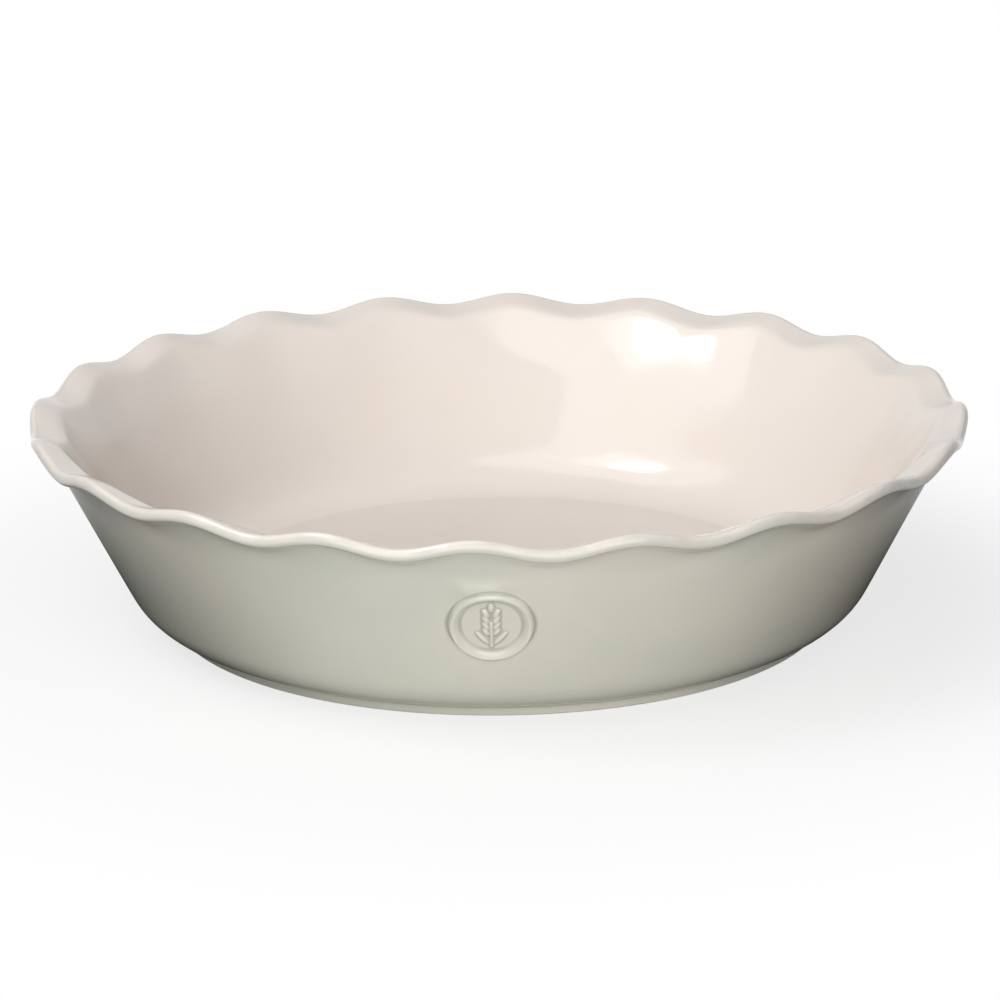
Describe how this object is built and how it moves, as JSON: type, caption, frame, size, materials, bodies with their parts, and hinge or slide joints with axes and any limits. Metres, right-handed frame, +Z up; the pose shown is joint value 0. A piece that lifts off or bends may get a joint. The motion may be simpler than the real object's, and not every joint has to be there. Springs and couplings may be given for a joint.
{
  "type": "pie dish",
  "caption": "Round stoneware pie dish with sloping walls, a ruffled flared lip, a low foot ring and a small raised round seal on the front wall.",
  "frame": {"origin": "centre of the circle that the foot ring stands on, at the height of the surface below it", "axes": "+Z up along the dish's axis of revolution, -Y towards the front, through the crest of the ruffle that is nearest the seal, +X to the right of someone facing the seal"},
  "size_m": [0.2684, 0.2684, 0.0615],
  "materials": {
    "clay": "unglazed fired stoneware, matt",
    "cream_glaze": "glossy cream glaze",
    "grey_green_glaze": "glossy pale grey-green glaze"
  },
  "bodies": {
    "root": {"clay_body": "clay", "inner_glaze": "cream_glaze", "outer_glaze": "grey_green_glaze", "underside_glaze": "grey_green_glaze", "seal_roundel": "grey_green_glaze"}
  },
  "joints": []
}
